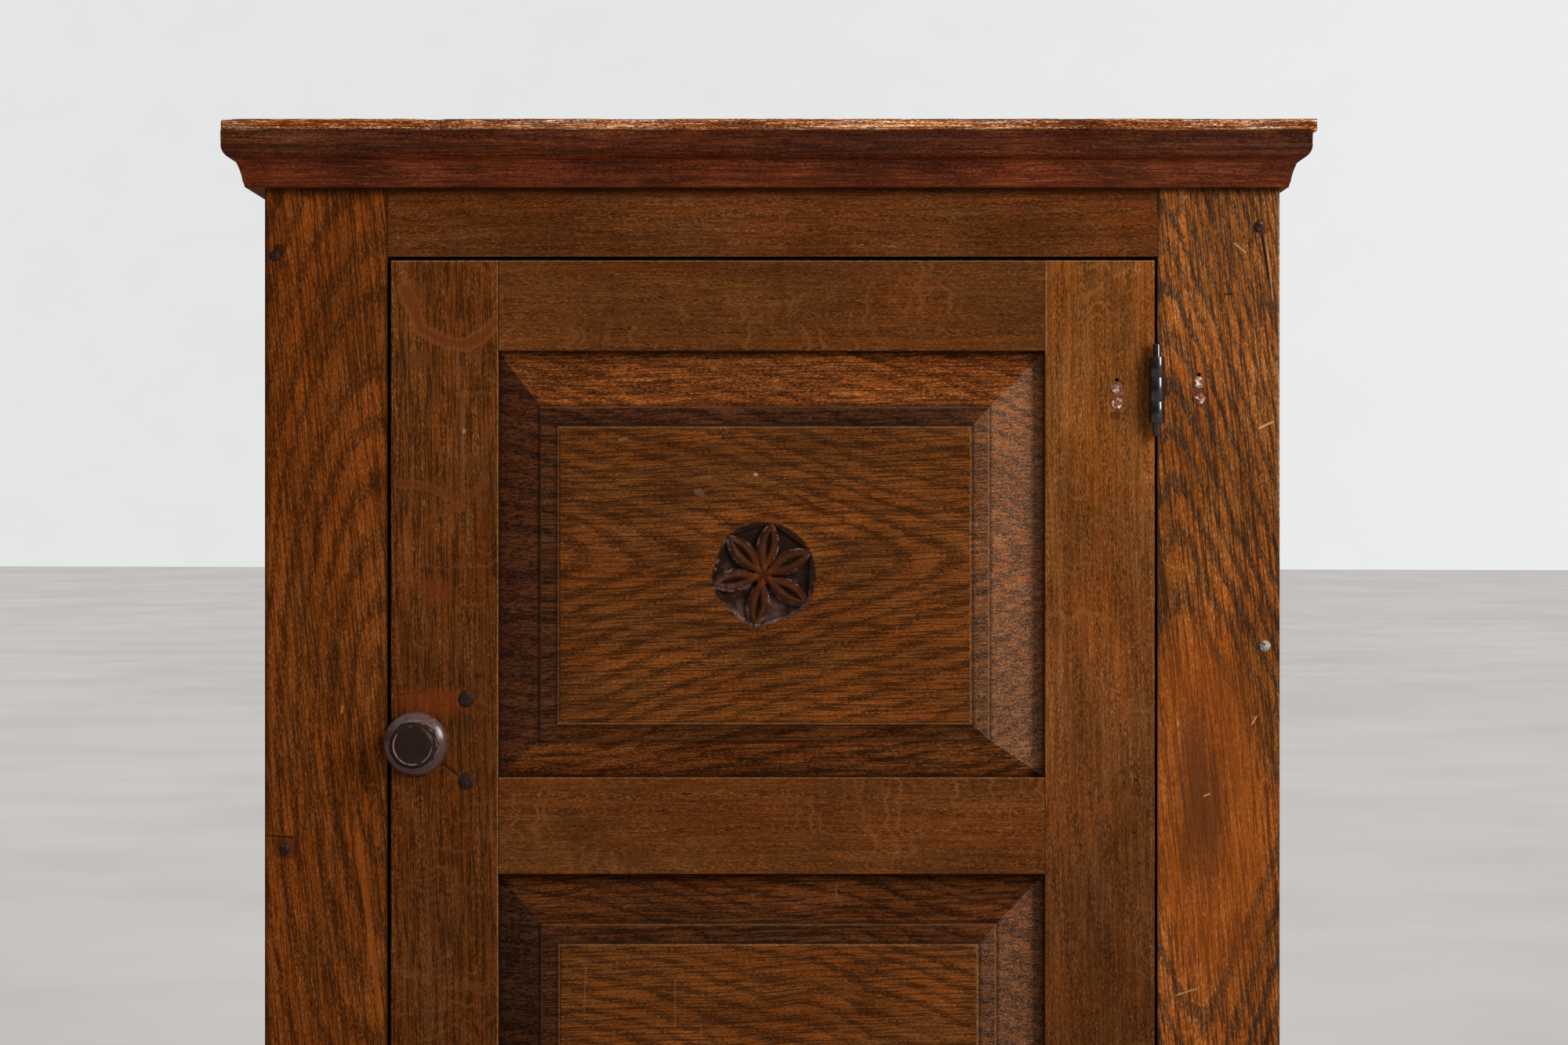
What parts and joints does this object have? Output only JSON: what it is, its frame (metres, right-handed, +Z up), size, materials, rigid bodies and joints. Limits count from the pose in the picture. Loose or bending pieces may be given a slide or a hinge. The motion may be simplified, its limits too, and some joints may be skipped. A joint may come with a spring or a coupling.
{
  "type": "wooden cabinet",
  "caption": "Small oak cupboard with a mitred cornice and one inset door of raised panels, on loose pin hinges, with a turned knob and inner latch.",
  "frame": {"origin": "on the floor, under the middle of the whole outline, knob and cornice included", "axes": "+Z up, +Y to the back, +X to the right of someone facing the door"},
  "size_m": [0.7964, 0.4364, 1.0865],
  "materials": {
    "oak_frame": "old waxed oak with dark figure, satin",
    "oak_door": "old waxed oak, olive brown, satin",
    "oak_panel": "old waxed oak, grain across, satin",
    "oak_cornice": "reddish brown stained moulding, waxed",
    "oak_top": "worn plank, dry and paler at the edge",
    "oak_sides": "old waxed oak planks",
    "oak_inside": "bare dry oak inside and behind",
    "iron_black": "blackened iron, rubbed bright on the arrises",
    "iron_nails": "old hand driven nails, dull with bright facets",
    "knob_wood": "turned dark hardwood, polished by hands"
  },
  "bodies": {
    "carcass": {"frame_stile_left": "oak_frame", "frame_stile_right": "oak_frame", "frame_rail_top": "oak_frame", "frame_rail_bottom": "oak_frame", "side_board_left_front": "oak_sides", "side_board_left_rear": "oak_sides", "side_board_right_front": "oak_sides", "side_board_right_rear": "oak_sides", "bottom_board": "oak_inside", "shelf_lower": "oak_inside", "shelf_batten_lower_left": "oak_inside", "shelf_batten_lower_right": "oak_inside", "shelf_upper": "oak_inside", "shelf_batten_upper_left": "oak_inside", "shelf_batten_upper_right": "oak_inside", "back_board_1": "oak_inside", "back_board_2": "oak_inside", "back_board_3": "oak_inside", "back_board_4": "oak_inside", "back_board_5": "oak_inside", "back_rail": "oak_inside", "door_stop": "oak_inside", "top_board_front": "oak_top", "top_board_rear": "oak_top", "cornice_front": "oak_cornice", "cornice_left": "oak_cornice", "cornice_right": "oak_cornice", "hinge_upper_frame_leaf": "iron_black", "hinge_upper_pin": "iron_black", "hinge_lower_frame_leaf": "iron_black", "hinge_lower_pin": "iron_black", "hinge_frame_nails": "iron_nails", "frame_nails": "iron_nails", "back_nails": "iron_nails", "top_nails": "iron_nails", "cornice_nails": "iron_nails"},
    "door": {"door_stile_knob_side": "oak_door", "door_stile_hinge_side": "oak_door", "door_rail_top": "oak_door", "door_rail_middle": "oak_door", "door_rail_bottom": "oak_door", "door_panel_upper": "oak_panel", "door_panel_lower": "oak_panel", "hinge_upper_door_leaf": "iron_black", "hinge_lower_door_leaf": "iron_black", "hinge_door_nails": "iron_nails", "latch_plate": "iron_black", "latch_rivets": "iron_black"},
    "latch": {"knob": "knob_wood", "latch_spindle": "iron_black", "latch_tongue": "iron_black"}
  },
  "joints": [
    {"name": "door_hinge", "type": "hinge", "parent": "carcass", "child": "door", "pos_m": [0.2833, -0.198, 0.565], "axis": [0, 0, 1], "range_deg": [0, 180]},
    {"name": "latch_turn", "type": "hinge", "parent": "door", "child": "latch", "pos_m": [-0.2587, -0.1918, 0.63125], "axis": [0, 1, 0], "range_deg": [0, 90]}
  ]
}
